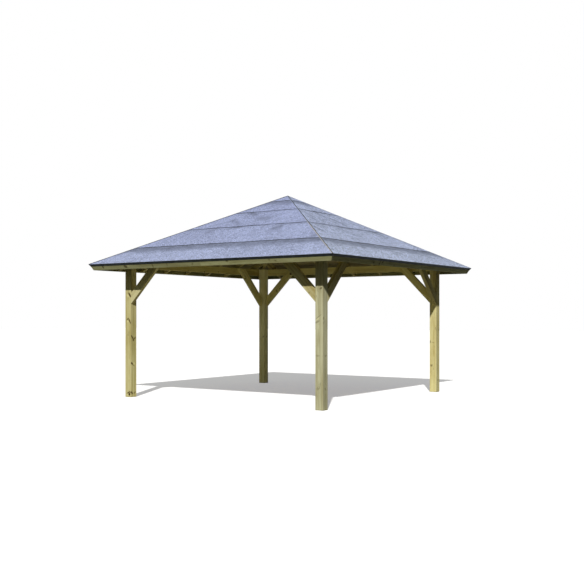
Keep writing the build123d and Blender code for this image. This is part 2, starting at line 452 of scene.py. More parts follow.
def timber(name, space, half_width, half_depth, seed, spacing=100.0, pith=0.09, knots=(), side_knots=(),
           tones=None, boards=False, foot=False, clear=0.68):
    """Softwood material for members that lie in the given space, X along the grain.

    Placed knots are (place along the grain, place across the face, half length, half width, tilt in degrees,
    darkness), and side knots are those on the faces square to the member's own Y. A darkness under 0 is a
    pale flare in the wood. Clear is the share of the random knots left out.
    """
    settings = bpy.context.scene.gazebo_timber
    pale, olive = tones or (settings.pale, settings.olive)
    material, w, shader, coordinates = new_material(name)
    turn = space.to_euler()
    place = w.local(coordinates["Object"], space.translation, turn)
    normal = w.local(coordinates["Normal"], turn=turn)
    moved = [(along, SIDE_FACE_SHIFT + offset, *shape) for along, offset, *shape in side_knots]
    placed = [*knots, *moved]
    if placed:
        x, y, z = w.split(place)
        face = w.combine(x, across_face(w, y, z, normal))
    nearest, darkness, flare = FAR, 0.5, 0.0
    for along, offset, length, width, tilt, tone in placed:
        from_knot = w.local(face, (along, offset, 0), (0, 0, math.radians(tilt)), (length, width, 1))
        away = w.vector("LENGTH", from_knot)
        if tone < 0:
            flare = w.math("MAXIMUM", flare, w.fall(away, 0.3, 1.2, -tone))
            continue
        closer = w.math("LESS_THAN", away, nearest)
        darkness = w.fade(closer, 0.0, 1.0, tone, darkness)
        nearest = w.math("MINIMUM", nearest, away)
    if boards:
        seed = w.number("board_seed") + seed
    wood = w.add("ShaderNodeGroup", {
        "Place": place, "Normal": normal, "Half width": half_width, "Half depth": half_depth,
        "Spacing": spacing, "Seed": seed, "Pith": pith, "Placed knots": nearest, "Placed tone": darkness,
        "Flare": flare, "Clear share": clear, "Pale": pale, "Olive": olive}, node_tree=softwood()).outputs
    colour = wood["Colour"]
    if boards:
        colour = w.tint(colour, w.number("board_tone"))
    # Painted shade at the foot of a post: it darkens over its lowest few centimetres where it meets the floor
    if foot:
        _, _, height = w.split(coordinates["Object"])
        shade_reach = w.noise(coordinates["Object"], scale=30.0, detail=3.0)
        colour = w.mix(w.fall(height, 0.0, shade_reach * 0.030, 0.6), colour, paint(92, 84, 60))
    w.finish(shader, colour, wood["Roughness"], 0.10, wood["Height"], strength=0.6, distance=0.0007)
    return material


# Spaces of the members

def axes_space(origin, along, across):
    """Space with X along one direction and Y along another, square to it."""
    x = Vector(along).normalized()
    y = Vector(across).normalized()
    turn = Matrix((x, y, x.cross(y))).transposed().to_4x4()
    return Matrix.Translation(origin) @ turn


def slope_space(side):
    """Space of a slope: X down it from the apex, Y along the side, and Z out of the felt."""
    turn = Matrix.Rotation(math.radians(SIDES[side]), 4, "Z")
    return turn @ Matrix.Translation((0, 0, APEX)) @ Matrix.Rotation(PITCH, 4, "Y")


def side_space(side):
    """Space of a side: X outward from the middle, Y along the side, and Z up."""
    return Matrix.Rotation(math.radians(SIDES[side]), 4, "Z")


def hip_space(corner, depth=0.0):
    """Space of a hip: X down it from the apex, Y level, and Z up square to it."""
    out = Vector((*CORNERS[corner], 0)).normalized()
    level = Vector((0, 0, 1)).cross(out)
    return axes_space((0, 0, APEX - depth), out - Vector((0, 0, HIP_FALL)), level)


def mitre(down, height):
    """Half length of a slope's course at a distance down it and a height above the felt."""
    return down * math.cos(PITCH) + height * math.sin(PITCH)


# Meshes

class Mesh:
    """Points and faces gathered before they become one piece, with named numbers on the points."""

    def __init__(self, *labels):
        self.points = []
        self.faces = []
        self.numbers = {label: [] for label in labels}

    def add(self, points, faces, **numbers):
        start = len(self.points)
        self.points += points
        self.faces += [[start + corner for corner in face] for face in faces]
        for label, values in self.numbers.items():
            given = numbers[label]
            values += given if isinstance(given, list) else [given] * len(points)

    def tube(self, rings, **numbers):
        """A closed body through rings of points, with flat ends."""
        size = len(rings[0])
        faces = [list(range(size))[::-1], [len(rings) * size - size + k for k in range(size)]]
        for ring in range(len(rings) - 1):
            for k in range(size):
                low, high = ring * size, (ring + 1) * size
                after = (k + 1) % size
                faces.append([low + k, low + after, high + after, high + k])
        self.add([point for ring in rings for point in ring], faces, **numbers)

    def piece(self, name, material, replaced=(), smooth=False):
        data = bpy.data.meshes.new(name)
        data.from_pydata([tuple(point) for point in self.points], [], self.faces)
        for label, values in self.numbers.items():
            data.attributes.new(label, "FLOAT", "POINT").data.foreach_set("value", values)
        data.polygons.foreach_set("use_smooth", [smooth] * len(data.polygons))
        data.update()
        data.materials.append(material)
        made = new_object(name, data)
        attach(made, BODY)
        if replaced:
            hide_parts(*replaced)
        return made


def soften(thing, width, segments=2):
    """Rounds the edges of a piece and shades its flat faces evenly."""
    weld = thing.modifiers.new("weld", "WELD")
    weld.merge_threshold = 0.00002
    bevel = thing.modifiers.new("arris", "BEVEL")
    bevel.width = width
    bevel.segments = segments
    bevel.limit_method = "ANGLE"
    bevel.angle_limit = math.radians(25)
    thing.modifiers.new("shading", "WEIGHTED_NORMAL").weight = 60


def dress(node, material, arris=None):
    """Gives a node of the frame its finish and rounded edges."""
    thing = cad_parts[node]
    thing.data.materials.clear()
    thing.data.materials.append(material)
    soften(thing, bpy.context.scene.gazebo_timber.arris if arris is None else arris)


def middle_and_size(node):
    """Middle and size of a node's box at rest."""
    low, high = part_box(node)
    return (low + high) / 2, high - low


# Posts, beams, braces and rafters

# Knots by post, first on the faces to the front and back and then on the others: height, place across the
# face, half length, half width, tilt in degrees, darkness
POST_KNOTS = {
    "front_left": [(1.624, 0.035, 0.038, 0.013, -35, 0.9), (1.611, -0.004, 0.034, 0.024, -35, -0.8),
                   (1.208, 0.033, 0.046, 0.011, -32, 0.7), (1.240, -0.012, 0.026, 0.009, 49, 0.6),
                   (1.205, -0.010, 0.027, 0.016, -20, -0.8), (0.046, 0.027, 0.020, 0.017, 0, 1.0),
                   (0.072, 0.008, 0.032, 0.009, 65, 0.7), (0.080, 0.044, 0.022, 0.009, -60, 0.6),
                   (0.052, -0.018, 0.022, 0.016, 0, -0.6)],
    "front_right": [(1.668, 0.030, 0.020, 0.011, 60, 0.5), (1.250, -0.020, 0.036, 0.008, 61, -0.6),
                    (1.281, -0.009, 0.050, 0.004, 55, 0.30), (1.210, -0.029, 0.034, 0.012, 65, 0.25),
                    (1.560, -0.044, 0.150, 0.010, 0, -0.5), (0.746, -0.022, 0.012, 0.030, 0, 0.12),
                    (0.294, -0.014, 0.016, 0.022, -20, 0.15)],
    "back_right": [(0.848, -0.056, 0.020, 0.012, 20, 0.5), (0.840, 0.000, 0.010, 0.030, 10, 0.1),
                   (0.449, -0.032, 0.017, 0.013, -20, 0.5), (0.454, -0.056, 0.006, 0.020, 10, 0.3)],
    "back_left": [(0.892, 0.036, 0.018, 0.011, 15, 0.3)],
}
POST_SIDE_KNOTS = {
    "front_left": [(0.954, -0.036, 0.044, 0.012, -42, 0.65), (0.935, 0.020, 0.030, 0.010, 55, 0.55),
                   (0.908, -0.009, 0.016, 0.013, 0, 0.7), (0.537, -0.044, 0.027, 0.012, -50, 1.0),
                   (0.505, -0.004, 0.020, 0.006, -50, 0.4), (0.532, 0.009, 0.024, 0.016, -30, -1.0),
                   (0.074, -0.048, 0.028, 0.012, -45, 0.9), (0.068, 0.020, 0.024, 0.009, 55, 0.5)],
    "front_right": [(1.258, -0.043, 0.020, 0.010, 0, 0.35), (1.263, 0.003, 0.022, 0.008, 60, -0.7),
                    (1.203, -0.037, 0.026, 0.008, 20, 0.3), (0.746, 0.010, 0.012, 0.024, 0, 0.12),
                    (0.291, 0.0, 0.014, 0.022, 30, 0.15)],
    "back_right": [(0.202, 0.0, 0.015, 0.010, 0, 0.6)],
    "back_left": [(0.892, 0.021, 0.017, 0.011, -25, 0.3)],
}
# Knots on the braces, from the foot up
BRACE_KNOTS = {"back_side_left_brace": [(0.315, -0.036, 0.012, 0.024, -35, 0.4),
                                        (0.770, -0.030, 0.022, 0.020, 20, 0.8)]}
POST_TONES = {
    "front_left": (paint(210, 203, 151), paint(171, 158, 98)),
    "front_right": (paint(203, 202, 168), paint(164, 158, 120)),
    "back_right": (paint(220, 212, 158), paint(187, 171, 110)),
    # The back-left post stands in shade; its near-white tones are painted light for the light bounced onto it
    # from the floor
    "back_left": (paint(250, 246, 206), paint(232, 222, 166)),
}
BEAM_TONES = (paint(216, 206, 138), paint(174, 158, 88))
RAFTER_TONES = (paint(204, 194, 144), paint(160, 146, 96))
BOARD_TONES = (paint(190, 180, 144), paint(137, 123, 86))
FASCIA_TONES = (paint(184, 185, 140), paint(139, 132, 85))
# Members at the back, given paler tones as painted light for the light bounced onto them from the floor under
# the roof
BACK_LIT_TONES = (paint(236, 228, 168), paint(202, 187, 116))
BACK_LIT_MEMBERS = ("back_beam", "back_side_left_brace", "back_side_right_brace", "left_side_back_brace")


class GAZEBO_OT_posts(bpy.types.Operator):
    """Finish the four posts as planed, treated softwood with their knots"""

    bl_idname = "gazebo.posts"
    bl_label = "Posts"

    def execute(self, context):
        for count, corner in enumerate(CORNERS):
            middle, size = middle_and_size(f"{corner}_post")
            middle.z = 0
            space = axes_space(middle, (0, 0, 1), (1, 0, 0))
            dress(f"{corner}_post", timber(
                f"{corner} post timber", space, size.x / 2, size.x / 2, GRAIN["post"] + count, pith=0.04,
                knots=POST_KNOTS[corner], side_knots=POST_SIDE_KNOTS[corner], tones=POST_TONES[corner],
                foot=True, clear=0.88))
        return {"FINISHED"}


class GAZEBO_OT_beams(bpy.types.Operator):
    """Finish the ring of beams"""

    bl_idname = "gazebo.beams"
    bl_label = "Beams"

    def execute(self, context):
        for count, side in enumerate(SIDES):
            name = f"{side}_beam"
            middle, size = middle_and_size(name)
            along = Vector((1, 0, 0) if size.x > size.y else (0, 1, 0))
            space = axes_space(middle, along, Vector((0, 0, 1)).cross(along))
            # The members at the back take paler tones that are painted light
            dress(name, timber(
                f"{name} timber", space, min(size.x, size.y) / 2, size.z / 2, GRAIN["beam"] + count,
                tones=BACK_LIT_TONES if name in BACK_LIT_MEMBERS else BEAM_TONES))
        return {"FINISHED"}


class GAZEBO_OT_braces(bpy.types.Operator):
    """Finish the eight knee braces, each with its grain along its slope"""

    bl_idname = "gazebo.braces"
    bl_label = "Knee braces"

    def execute(self, context):
        names = sorted(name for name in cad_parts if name.endswith("_brace"))
        for count, name in enumerate(names):
            low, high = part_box(name)
            origin, size = middle_and_size(name)
            run = 0 if size.x > size.y else 1
            origin[run] = max(low[run], high[run], key=abs)
            origin.z = low.z + BRACE_DEPTH / math.sqrt(2)
            along = Vector((0, 0, 1))
            along[run] = -math.copysign(1, origin[run])
            across = Vector((run, 1 - run, 0))
            # The members at the back take paler tones that are painted light
            dress(name, timber(
                f"{name} timber", axes_space(origin, along, across), size[1 - run] / 2, BRACE_DEPTH / 2,
                GRAIN["brace"] + count, side_knots=BRACE_KNOTS.get(name, ()),
                tones=BACK_LIT_TONES if name in BACK_LIT_MEMBERS else None))
        return {"FINISHED"}


class GAZEBO_OT_rafters(bpy.types.Operator):
    """Finish the hip rafters, the common and jack rafters and the apex block"""

    bl_idname = "gazebo.rafters"
    bl_label = "Rafters"

    def execute(self, context):
        half_depth = (RAFTER_BOTTOM - RAFTER_TOP) / 2
        for count, side in enumerate(SIDES):
            space = slope_space(side) @ Matrix.Translation((0, 0, -RAFTER_TOP - half_depth))
            dress(f"{side}_rafters", timber(
                f"{side} rafter timber", space, RAFTER_WIDTH / 2, half_depth, GRAIN["rafter"] + 9 * count,
                spacing=RAFTER_SPACING, tones=RAFTER_TONES))
        for count, corner in enumerate(CORNERS):
            space = hip_space(corner, RAFTER_TOP / math.cos(PITCH) + HIP_DEPTH / 2)
            dress(f"{corner}_hip_rafter", timber(
                f"{corner} hip rafter timber", space, HIP_WIDTH / 2, HIP_DEPTH / 2, GRAIN["hip"] + count,
                tones=RAFTER_TONES))
        low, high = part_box("apex_block")
        space = axes_space((0, 0, low.z), (0, 0, 1), (1, 0, 0))
        dress("apex_block", timber(
            "apex block timber", space, high.x, high.y, GRAIN["apex"], tones=BEAM_TONES))
        return {"FINISHED"}


# Boards and fascias

# Gaps between neighbouring boards and at their ends, and how far from the apex the first one starts
BOARD_GAP = 0.0004
END_GAP = 0.0005
FIRST_BOARD = 0.030


def chamfered_strip(inner, outer, top, bottom, top_ease, bottom_ease):
    """Cross section of a board between two distances down the slope, with eased edges."""
    return [(inner, top - top_ease), (inner, bottom + bottom_ease), (inner + bottom_ease, bottom),
            (outer - bottom_ease, bottom), (outer, bottom + bottom_ease), (outer, top - top_ease),
            (outer - top_ease, top), (inner + top_ease, top)]


def grain_space(space, down, height):
    """Space of a side's boards, X along them, from the place of their middle in the slope's space."""
    return space @ Matrix.Translation((down, 0, height)) @ Matrix.Rotation(math.pi / 2, 4, "Z")


def board(mesh, space, section, start, end, seed, tone=1.0, bow=0.0):
    """One board along a side. An end given as None is mitred at the hip."""
    rings = []
    reach = mitre(section[0][0], 0)
    steps = max(2, round((end or reach) - (start or -reach)) * 3)
    for step in range(steps + 1):
        share = step / steps
        ring = []
        for down, height in section:
            limit = mitre(down, height) - END_GAP
            first = -limit if start is None else start + END_GAP
            last = limit if end is None else end - END_GAP
            place = first + (last - first) * share
            lift = bow * math.sin(math.pi * share) * noise.noise(Vector((place * 0.8, seed, 0)))
            ring.append(space @ Vector((down, place, height + lift)))
        rings.append(ring)
    mesh.tube(rings, board_seed=seed, board_tone=tone)


class GAZEBO_OT_roof_boards(bpy.types.Operator):
    """Make the boards of the four slopes, with V joints below and butt joints on the rafters"""

    bl_idname = "gazebo.roof_boards"
    bl_label = "Roof boards"

    def execute(self, context):
        settings = context.scene.gazebo_timber
        chance = random.Random(DRAWS["board"])
        count = round(FASCIA_FACE / settings.board_cover)
        cover = FASCIA_FACE / count
        for turn, side in enumerate(SIDES):
            space = slope_space(side)
            mesh = Mesh("board_seed", "board_tone")
            for row in range(count):
                inner = max(row * cover + BOARD_GAP, FIRST_BOARD)
                outer = (row + 1) * cover - (BOARD_GAP if row < count - 1 else 0.0)
                section = chamfered_strip(inner, outer, -DECK_TOP, -RAFTER_TOP, 0.0005, settings.board_joint)
                reach = mitre(inner, -RAFTER_TOP)
                joints = []
                if reach > 1.3:
                    widest = int((reach - 0.5) / RAFTER_SPACING)
                    joints = [chance.randint(-widest, widest) * RAFTER_SPACING]
                for start, end in zip([None, *joints], [*joints, None]):
                    board(mesh, space, section, start, end, chance.uniform(0, 90), chance.uniform(0.90, 1.08))
            grain = grain_space(space, cover / 2, -(DECK_TOP + RAFTER_TOP) / 2)
            material = timber(f"{side} board timber", grain, cover / 2, (RAFTER_TOP - DECK_TOP) / 2,
                              GRAIN["board"] + turn, spacing=cover, tones=BOARD_TONES, boards=True)
            mesh.piece(f"{side}_boarding", material, [f"{side}_roof_boards"])
        return {"FINISHED"}


# Knots by fascia, as on the posts, from the middle of its side
FASCIA_KNOTS = {
    "front": [(-1.978, 0.006, 0.016, 0.020, 15, 0.5), (-1.493, -0.002, 0.034, 0.019, -25, 0.6),
              (-1.430, 0.006, 0.030, 0.014, 0, -0.6), (-0.930, -0.006, 0.010, 0.034, 5, 0.35),
              (-0.640, 0.004, 0.009, 0.030, -4, 0.25), (-0.149, -0.006, 0.016, 0.010, 30, 0.3),
              (1.229, 0.008, 0.014, 0.009, 0, 0.4), (1.329, -0.008, 0.018, 0.008, -30, 0.4)],
    "right": [(-0.850, 0.010, 0.018, 0.012, 20, 0.9), (-0.925, -0.010, 0.012, 0.030, 0, 0.5),
              (-1.100, -0.012, 0.016, 0.010, 0, 0.6), (0.420, 0.0, 0.012, 0.009, 0, 0.5),
              (1.480, 0.008, 0.012, 0.009, 0, 0.5)],
    "back": [(-1.210, 0.004, 0.014, 0.010, 10, 0.7), (0.830, -0.012, 0.015, 0.011, -15, 0.6)],
    "left": [(-0.540, 0.0, 0.014, 0.010, 0, 0.6), (1.640, 0.010, 0.012, 0.009, 20, 0.5)],
}
# Tones of the two boards of each fascia; the right fascia's lower tones are painted shade
FASCIA_BOARD_TONES = {"front": (0.80, 1.00), "right": (0.70, 0.64), "back": (0.9, 0.8), "left": (0.85, 0.95)}


class GAZEBO_OT_fascias(bpy.types.Operator):
    """Make the fascias: two boards a side, mitred at the hips and butted on the common rafter"""

    bl_idname = "gazebo.fascias"
    bl_label = "Fascias"

    def execute(self, context):
        chance = random.Random(DRAWS["fascia"])
        section = chamfered_strip(RAFTER_END, FASCIA_FACE, -RAFTER_TOP, -RAFTER_BOTTOM, 0.0015, 0.0025)
        for turn, side in enumerate(SIDES):
            space = slope_space(side)
            mesh = Mesh("board_seed", "board_tone")
            for start, end, tone in zip((None, 0.0), (0.0, None), FASCIA_BOARD_TONES[side]):
                board(mesh, space, section, start, end, chance.uniform(0, 90), tone, bow=0.0015)
            grain = grain_space(space, (RAFTER_END + FASCIA_FACE) / 2, -(RAFTER_TOP + RAFTER_BOTTOM) / 2)
            material = timber(f"{side} fascia timber", grain, FASCIA_THICKNESS / 2,
                              (RAFTER_BOTTOM - RAFTER_TOP) / 2, GRAIN["fascia"] + turn,
                              side_knots=FASCIA_KNOTS[side], tones=FASCIA_TONES, boards=True)
            mesh.piece(f"{side}_fascia_boards", material, [f"{side}_fascia"])
        return {"FINISHED"}


# Felt

# How dark the band of painted shade below each lap is, from the apex down
LAP_SHADE = (0.25, 0.80, 0.28, 0.36, 1.0)
# Painted light by side: how much lighter or darker each slope's felt is made for the way the light falls on
# it
SLOPE_LIGHT_TONES = {"front": 0.855, "right": 1.03, "back": 0.96, "left": 0.92}
# How strongly its granules vary, by side
SIDE_SPECKLE = {"front": 0.76, "right": 1.25, "back": 1.0, "left": 0.9}
# Tone by course, from the apex down: lighter towards the eave
COURSE_TONES = (0.91, 0.92, 0.94, 0.97, 1.04)
# Marks by side, soiling and painted light: from and to, each as down the slope and along the side, width and
# darkness, which is under 0 for a painted highlight; marks that run along a lap line deepen its painted shade
SOIL_AND_LIGHT_MARKS = {
    "front": [(0.730, -0.270, 0.800, -0.130, 0.055, 0.50), (1.000, 0.090, 1.010, 0.240, 0.085, 0.45),
              (0.985, -0.448, 1.214, -0.170, 0.055, 0.35), (1.157, -0.693, 1.028, -0.438, 0.050, 0.30),
              (1.490, 0.650, 1.420, 0.730, 0.060, 0.60), (1.494, -0.630, 1.420, -0.583, 0.050, 0.35),
              (1.916, 1.591, 1.832, 1.626, 0.045, 0.40), (1.315, 0.498, 1.321, 0.539, 0.035, -0.60),
              (1.320, -0.230, 1.320, -0.080, 0.035, 0.50)],
    "right": [(0.780, -0.603, 0.967, -0.574, 0.040, 0.35), (0.698, -0.117, 0.882, -0.136, 0.040, 0.45),
              (1.027, -0.768, 1.163, -0.705, 0.040, 0.40), (0.948, 0.010, 1.178, 0.135, 0.045, 0.45),
              (1.498, -1.251, 1.635, -1.227, 0.045, 0.60), (1.448, -0.448, 1.692, -0.153, 0.090, 0.20),
              (1.310, 0.774, 1.480, 0.943, 0.035, 0.45), (1.330, -0.340, 1.337, 0.019, 0.030, 0.35)],
    "back": [(0.900, 0.320, 1.080, 0.180, 0.060, 0.40), (1.420, -0.700, 1.560, -0.520, 0.055, 0.40)],
    "left": [(0.820, -0.150, 0.960, -0.020, 0.055, 0.35), (1.480, 0.860, 1.600, 1.020, 0.050, 0.45)],
}
# Where the first sheet starts, down from the apex, and how far the sheets stop short of the hips
FIRST_SHEET = 0.006
SHEET_GAP = 0.0008
# Numbers that the points of the felt hold for its material
FELT_NUMBERS = ("below_lap", "lap_shade", "sheet_seed", "soil", "to_eave", "side_tone", "side_speckle")


def mineral_felt():
    """Mineral felt: granules, mottling and clouds, a tone by slope that is painted light, and a dark line and
    a band of painted shade below each lap.
    """
    settings = bpy.context.scene.gazebo_roof
    material, w, shader, coordinates = new_material("mineral felt")
    place = coordinates["Object"]
    below, shade, sheet, soil, to_eave, side_tone, side_speckle = [w.number(label) for label in FELT_NUMBERS]
    granule = w.add("ShaderNodeTexVoronoi", {"Vector": place, "Scale": 420.0})
    grain, _, _ = w.split(granule.outputs["Color"])
    speckle = w.noise(place, scale=50.0, detail=3.0, rough=0.75)
    mottle = w.noise(place, scale=11.0, detail=3.0)
    cloud = w.noise(w.vector("ADD", place, w.combine(sheet, 0.0, sheet)), scale=1.9, detail=4.0, rough=0.55)

    varied = w.fade(speckle, 0.36, 0.64, 0.52, -0.48) + w.fade(mottle, 0.32, 0.68, 0.11, -0.11)
    tone = w.fade(grain, 0.0, 1.0, 0.20, -0.20) + 1.0 + varied * side_speckle
    # The tone by slope is painted light, and the tone by course makes the felt lighter towards the eave
    tone = (tone + w.fade(cloud, 0.30, 0.70, 0.07, -0.09)) * side_tone
    colour = w.tint(settings.mineral, tone, tone * w.math("POWER", side_tone, -0.5))
    pale_grain = w.math("GREATER_THAN", grain, 0.93)
    colour = w.mix(pale_grain * 0.45, colour, paint(215, 218, 226))

    # Painted shade in a band below the lap, wavy along its lower edge, with the marks of the felt added to it
    wave = w.noise(w.vector("MULTIPLY", place, (1.0, 1.0, 4.0)), scale=4.5, detail=3.0)
    width = (wave * 0.26 + 0.03) * (shade + 0.25)
    band = w.fall(below / width, 0.35, 1.55) * (shade * 0.86)
    mottling = w.fade(mottle, 0.25, 0.75, begin=0.6)
    shade_and_soil = w.math("MULTIPLY", band + soil * 1.3, mottling, clamp=True)
    colour = w.mix(shade_and_soil, colour, paint(88, 94, 112))

    # A dark line along the edge of the sheet above, painted shade of that edge in the bitumen colour and
    # darker where marked, and bare bitumen along the eave
    line_wander = w.noise(w.vector("MULTIPLY", place, (1.0, 1.0, 1.5)), scale=26.0)
    line = w.fall(below, line_wander * 0.024, line_wander * 0.028 + 0.007, 0.95)
    line = line * w.math("ADD", soil * 1.6, 1.0, clamp=True)
    line = w.math("MAXIMUM", line, w.fall(to_eave, 0.004, 0.007))
    colour = w.mix(line, colour, settings.bitumen)
    rough = w.fade(grain, 0.0, 1.0, 0.95, 0.78)
    w.finish(shader, colour, rough, 0.12, grain * 0.7 + speckle * 0.8, strength=0.55, distance=0.0012)
    return material


def smooth(value, start, end):
    """Smooth step from 0 at start to 1 at end."""
    share = min(max((value - start) / (end - start), 0.0), 1.0)
    return share * share * (3 - 2 * share)


def lap_edge(along, course, turn):
    """How far the lower edge of a course strays from its line, by place along the side."""
    slow = noise.noise(Vector((along * 1.3, course * 3.1, turn * 5.7)))
    quick = noise.noise(Vector((along * 7.0, course * 4.3, turn * 2.9)))
    return 0.0035 * slow + 0.0012 * quick


def felt_height(down, along, lap, lower, course, turn, settings):
    """Height of a sheet's top above the roof's outline.

    It is flat under the sheet above, waved on the boards, and up over the next sheet.
    """
    last = course == len(FELT_LAPS)
    over_next = 0.0 if last else smooth(down, lower - settings.overlap - 0.05, lower - settings.overlap)
    height = FELT_SHEET * (over_next - 1)
    hip_distance = mitre(down, 0) - abs(along)
    calm = smooth(hip_distance, 0.015, 0.14) * smooth(lower - down + 0.05, 0.0, 0.12 if last else 0.02)
    calm *= smooth(down - lap, 0.01, 0.07)
    swell = noise.noise(Vector((down * 2.6, along * 3.3, course * 7.7 + turn)))
    ripple = noise.noise(Vector((down * 7.0, along * 9.0, course * 2.3 + turn * 3.7)))
    lift = 0.0
    if not last:
        pucker = max(0.0, noise.noise(Vector((along * 4.2, course * 9.1, turn * 1.9))) - 0.1)
        lift = 0.004 * pucker * smooth(down, lower - 0.10, lower)
    return height + calm * (settings.wave * max(0.0, 0.35 + swell + 0.35 * ripple) + lift)


def marked_soil_and_light(side, down, along):
    """How dark the marks of its side make the felt at a place: soiling, and painted shade and a painted
    highlight on lap lines.
    """
    total = 0.0
    for down_0, along_0, down_1, along_1, width, depth in SOIL_AND_LIGHT_MARKS[side]:
        run = Vector((down_1 - down_0, along_1 - along_0))
        place = Vector((down - down_0, along - along_0))
        share = min(max(place.dot(run) / run.length_squared, 0.0), 1.0)
        total += depth * math.exp(-((place - run * share).length / width) ** 2)
    return total


class GAZEBO_OT_felt(bpy.types.Operator):
    """Make the lapped sheets of mineral felt on the four slopes"""

    bl_idname = "gazebo.felt"
    bl_label = "Felt"

    def execute(self, context):
        settings = context.scene.gazebo_roof
        material = mineral_felt()
        ends = [0.0] + [share * SLOPE_LENGTH for share in FELT_LAPS] + [SLOPE_LENGTH]
        for turn, side in enumerate(SIDES):
            mesh = Mesh(*FELT_NUMBERS)
            for course, (lap, lower) in enumerate(zip(ends, ends[1:])):
                self.sheet(mesh, side, lap, lower, course, turn, settings)
            made = mesh.piece(f"{side}_felt_sheets", material, [f"{side}_felt"], smooth=True)
            thick = made.modifiers.new("sheet", "SOLIDIFY")
            thick.thickness = FELT_SHEET
            thick.offset = -1
            made.modifiers.new("shading", "WEIGHTED_NORMAL").weight = 60
        return {"FINISHED"}

    def sheet(self, mesh, side, lap, lower, course, turn, settings):
        """One course, from under the lap above it to its own lower edge."""
        space = slope_space(side)
        upper = max(lap - settings.overlap, FIRST_SHEET)
        last = course == len(FELT_LAPS)
        rows = max(4, round((lower - upper) / settings.mesh_step))
        columns = max(6, 2 * round(mitre(lower, 0) / settings.mesh_step))
        points, below, soil, to_eave = [], [], [], []
        for row in range(rows + 1):
            for column in range(columns + 1):
                down = upper + (lower - upper) * row / rows
                share = 2 * column / columns - 1
                along = share * mitre(down, 0)
                if not last:
                    down += lap_edge(along, course, turn) * smooth(row / rows, 0.5, 1.0)
                height = felt_height(down, along, lap, lower, course, turn, settings)
                along = share * (mitre(down, height) - SHEET_GAP)
                points.append(space @ Vector((down, along, height)))
                line = lap + (lap_edge(along, course - 1, turn) if course else -0.10)
                below.append(down - line)
                soil.append(marked_soil_and_light(side, down, along))
                to_eave.append(SLOPE_LENGTH - down)
        across = columns + 1
        faces = [[row * across + k, (row + 1) * across + k, (row + 1) * across + k + 1, row * across + k + 1]
                 for row in range(rows) for k in range(columns)]
        mesh.add(points, faces, below_lap=below, lap_shade=LAP_SHADE[course],
                 sheet_seed=3.7 * course + 11.3 * turn, soil=soil, to_eave=to_eave,
                 side_tone=SLOPE_LIGHT_TONES[side] * COURSE_TONES[course], side_speckle=SIDE_SPECKLE[side])


# Drip edges, hip strips and fixings

def edge_felt(settings):
    """Dark bitumen felt with a worn, slightly dusty face."""
    material, w, shader, coordinates = new_material("edge felt")
    dust = w.noise(coordinates["Object"], scale=9.0, detail=4.0, rough=0.6)
    fleck = w.noise(coordinates["Object"], scale=160.0)
    colour = w.tint(settings.bitumen, w.fade(dust, 0.35, 0.7, 1.35, 0.65) + (fleck - 0.5) * 0.6)
    w.finish(shader, colour, w.fade(fleck, 0.3, 0.7, 0.9, 0.7), 0.15, fleck)
    return material


# Where down a hip its strip starts to be worn and is worn most, and how far its granules are off there
HIP_WEAR_RUN = (1.3, 2.1)
HIP_WEAR = {"front_left": 0.2, "front_right": 0.9, "back_right": 0.1, "back_left": 0.4}


def hip_felt(corner, settings):
    """A strip of mineral felt folded over a hip, with dark bitumen over most of one flank, in part its cut
    edge and in part painted shade of that flank.
    """
    material, w, shader, coordinates = new_material(f"{corner} hip felt")
    space = hip_space(corner)
    along, across, _ = w.split(w.local(coordinates["Object"], space.translation, space.to_euler()))
    fleck = w.noise(coordinates["Object"], scale=160.0)
    ragged = w.noise(w.combine(along * 9.0, 0.0), detail=3.0)
    worn = w.fade(along, *HIP_WEAR_RUN, HIP_WEAR[corner])
    colour = w.tint(settings.mineral, w.fade(fleck, 0.3, 0.7, 1.25, 0.85))
    colour = w.mix(worn, colour, paint(186, 182, 178))
    # Painted shade: the dark bitumen covers most of one flank, for the shade of that flank as well as the cut
    # edge
    start = ragged * 0.005 + worn * 0.002 - 0.009
    colour = w.mix(w.fade(across, start, start + 0.002, 0.97), colour, settings.bitumen)
    w.finish(shader, colour, w.fade(fleck, 0.3, 0.7, 0.95, 0.8), 0.12, fleck)
    return material


# Outer face of the folded felt at the eaves, from its top: distance out from the fascia's face, and height
DRIP_FOLD = ((0.0070, -0.0050), (0.0079, -0.0075), (0.0078, -0.0110), (0.0066, -0.0160), (0.0044, -0.0215),
             (0.0032, -0.0270), (0.0029, -0.0330), (0.0028, -0.0400), (0.0020, -0.0408))
# Steps along a side, and the face of the fold that lies on the fascia
FOLD_STEPS = 30
FOLD_BACK = 0.00005


def drip_felt(mesh, side, turn):
    """The felt of one side, folded over the ends of the boards and down on the face of the fascia."""
    space = slope_space(side)
    rings = []
    for step in range(FOLD_STEPS + 1):
        share = 2 * step / FOLD_STEPS - 1
        stray = 0.0016 * noise.noise(Vector((share * 9.0, turn * 4.1, 0.0)))
        section = [(FOLD_BACK, DRIP_FOLD[-1][1] + stray), (FOLD_BACK, DRIP_FOLD[0][1])]
        section += [(out, height + stray * min(1.0, -height / 0.04)) for out, height in DRIP_FOLD]
        ring = []
        for out, height in section:
            height = max(height, -DECK_TOP - DRIP_DEPTH + 0.0001)
            down = FASCIA_FACE + out
            ring.append(space @ Vector((down, share * (mitre(down, height) - 0.0004), height)))
        rings.append(ring)
    mesh.tube(rings)


